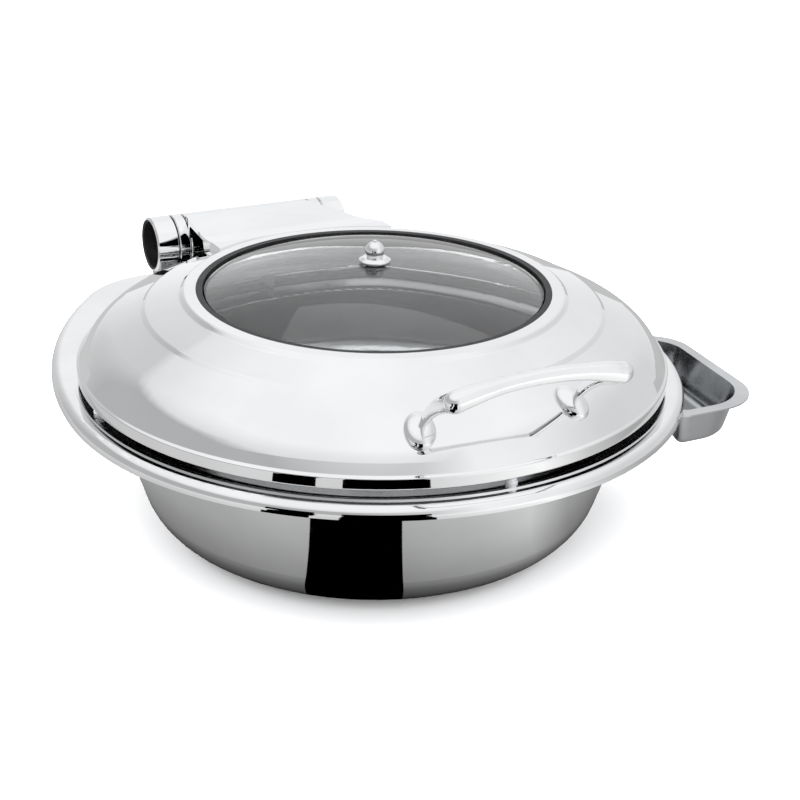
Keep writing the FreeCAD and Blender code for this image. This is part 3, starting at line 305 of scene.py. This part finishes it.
def panel(name, corners, material, mirrored_only=True):
    """A flat studio panel, which only mirror rays see unless told otherwise."""
    mesh = bpy.data.meshes.new(name)
    mesh.from_pydata([tuple(corner) for corner in corners], [], [tuple(range(len(corners)))])
    made = bpy.data.objects.new(name, mesh)
    bpy.context.collection.objects.link(made)
    mesh.materials.append(material)
    if mirrored_only:
        made.visible_camera = False
        made.visible_diffuse = False
        made.visible_shadow = False
        made.visible_transmission = False
    return made


def square(half):
    """Corners of a square on the ground round the middle."""
    return [(-half, -half, 0), (half, -half, 0), (half, half, 0), (-half, half, 0)]


def bearing(angle, reach, height=0.0):
    """A point at an angle from -Y, positive towards +X."""
    turn = math.radians(angle)
    return Vector((math.sin(turn) * reach, -math.cos(turn) * reach, height))


def floor_card(name, start, end, near, far, material):
    """A card lying on the floor between two bearings and two distances."""
    steps = max(2, int(abs(end - start) / CARD_STEP))
    angles = [start + (end - start) * i / steps for i in range(steps + 1)]
    corners = [bearing(angle, near, CARD_LIFT) for angle in angles]
    corners += [bearing(angle, far, CARD_LIFT) for angle in reversed(angles)]
    return panel(name, corners, material)


def card(name, start, end, reach, height, material):
    """A card standing on the floor between two bearings."""
    low = [bearing(start, reach), bearing(end, reach)]
    high = [bearing(end, reach, height), bearing(start, reach, height)]
    return panel(name, low + high, material)


def ramp_node(tree, source, stops):
    """A colour ramp of greys through (position, grey) stops."""
    made = tree.nodes.new("ShaderNodeValToRGB")
    bar = made.color_ramp
    for spare in list(bar.elements)[1:]:
        bar.elements.remove(spare)
    for i, (position, grey) in enumerate(stops):
        stop = bar.elements[0] if i == 0 else bar.elements.new(position)
        stop.position = position
        stop.color = (grey, grey, grey, 1)
    tree.links.new(source, made.inputs["Fac"])
    return made.outputs["Color"]


def math_node(tree, operation, *inputs):
    """A maths node whose inputs are numbers or other nodes' outputs."""
    made = tree.nodes.new("ShaderNodeMath")
    made.operation = operation
    for target, value in zip(made.inputs, inputs):
        if hasattr(value, "links"):
            tree.links.new(value, target)
        else:
            target.default_value = value
    return made.outputs[0]


def softbox(name, place, aim, size, power):
    """A rectangular area lamp that the steel doesn't mirror."""
    lamp = bpy.data.lights.new(name, "AREA")
    lamp.shape = "RECTANGLE"
    lamp.size, lamp.size_y = size
    lamp.energy = power
    made = bpy.data.objects.new(name, lamp)
    bpy.context.collection.objects.link(made)
    made.location = place
    made.rotation_euler = (Vector(aim) - Vector(place)).to_track_quat("-Z", "Y").to_euler()
    made.visible_glossy = False


# The plain pale floor, which the steel doesn't mirror.
floor_paint = Shader("studio_floor", Roughness=0.85, Specular_IOR_Level=0.1)
floor_paint.tint(floor_paint.noise(floor_paint.place, 3.0, 3.0), (0.88, 0.88, 0.88),
                 (0.90, 0.90, 0.90))
floor = panel("floor", square(FLOOR_HALF), floor_paint.material, mirrored_only=False)
floor.visible_glossy = False

# The steel mirrors this grey table in place of the floor, with dark cards lying on it.
# It is dark close to the chafer, where little light gets in, and brighter further out.
table_glow = lit("table_glow", 1.0)
tree = table_glow.node_tree
spot = tree.nodes.new("ShaderNodeTexCoord").outputs["Object"]
across = tree.nodes.new("ShaderNodeSeparateXYZ")
tree.links.new(spot, across.inputs[0])
reach = tree.nodes.new("ShaderNodeVectorMath")
reach.operation = "LENGTH"
tree.links.new(spot, reach.inputs[0])
near = ramp_node(tree, reach.outputs["Value"], TABLE_BY_REACH)
swing = math_node(tree, "ARCTAN2", across.outputs["X"],
                  math_node(tree, "MULTIPLY", across.outputs["Y"], -1.0))
turn = math_node(tree, "MULTIPLY_ADD", swing, 1 / (2 * math.pi), 0.5)
round_about = ramp_node(tree, turn, TABLE_BY_BEARING)
tree.links.new(math_node(tree, "MULTIPLY", near, round_about),
               tree.nodes["Emission"].inputs["Strength"])
panel("mirror_table", square(TABLE_HALF), table_glow)

# Dark cards in front, seen in the bowl, the edge of the deck and the skirt of the lid.
BLACK = lit("card_black", 0.0, (0, 0, 0))
floor_card("card_front", -43, -16.5, CARD_INNER, CARD_MIDDLE, BLACK)
floor_card("card_left", -53.5, -41, CARD_MIDDLE, CARD_REACH, BLACK)
floor_card("card_right", -33.5, -9, CARD_MIDDLE, CARD_REACH, BLACK)
card("card_left_up", -57, -42.5, CARD_REACH, CARD_HEIGHT, BLACK)
card("card_right_up", -34, -7.5, CARD_REACH, CARD_HEIGHT, BLACK)

# Even light for matt surfaces, and for mirrors a sky that is greyer low on the left.
world = bpy.data.worlds.new("studio")
bpy.context.scene.world = world
world.use_nodes = True
sky = world.node_tree
background = sky.nodes["Background"]
background.inputs["Color"].default_value = (0.985, 0.99, 1.0, 1)
heading = sky.nodes.new("ShaderNodeSeparateXYZ")
sky.links.new(sky.nodes.new("ShaderNodeTexCoord").outputs["Generated"], heading.inputs[0])
across_sky = math_node(sky, "MULTIPLY_ADD", heading.outputs["X"], 0.5, 0.5)
sideways = ramp_node(sky, across_sky, SKY_BY_SIDE)
upwards = ramp_node(sky, heading.outputs["Z"], SKY_BY_HEIGHT)
mirrored = math_node(sky, "MAXIMUM", sideways, upwards)
matt_ray = sky.nodes.new("ShaderNodeLightPath").outputs["Is Diffuse Ray"]
matt = math_node(sky, "MULTIPLY", matt_ray, MATT_LIGHT)
plain = math_node(sky, "SUBTRACT", 1.0, matt_ray)
sky.links.new(math_node(sky, "ADD", matt, math_node(sky, "MULTIPLY", plain, mirrored)),
              background.inputs["Strength"])

softbox("key", (-0.6, -0.8, 2.2), (0, 0, 0.1), (1.8, 1.4), 14)
softbox("top", (0.5, 0.6, 2.4), (0, 0, 0.1), (2.2, 2.2), 14)

# ---------------------------------------------------------------- camera

# Place in metres, line of sight and tilt of the horizon.
CAMERA_PLACE = Vector((-0.5410, -1.1272, 0.6493))
CAMERA_AIM = Vector((0.41008, 0.81767, -0.40405))
CAMERA_ROLL = math.radians(1.376)
SENSOR_WIDTH = 36.0
LENS_LENGTH = 78.12

camera_data = bpy.data.cameras.new("camera")
camera_data.sensor_width = SENSOR_WIDTH
camera_data.lens = LENS_LENGTH
camera = bpy.data.objects.new("camera", camera_data)
bpy.context.collection.objects.link(camera)
level = CAMERA_AIM.cross(Vector((0, 0, 1))).normalized()
upright = level.cross(CAMERA_AIM)
right = level * math.cos(CAMERA_ROLL) + upright * math.sin(CAMERA_ROLL)
up = upright * math.cos(CAMERA_ROLL) - level * math.sin(CAMERA_ROLL)
camera.matrix_world = Matrix.Translation(CAMERA_PLACE) @ Matrix(
    (right, up, -CAMERA_AIM)).transposed().to_4x4()
bpy.context.scene.camera = camera
bpy.context.scene.view_settings.view_transform = "Standard"
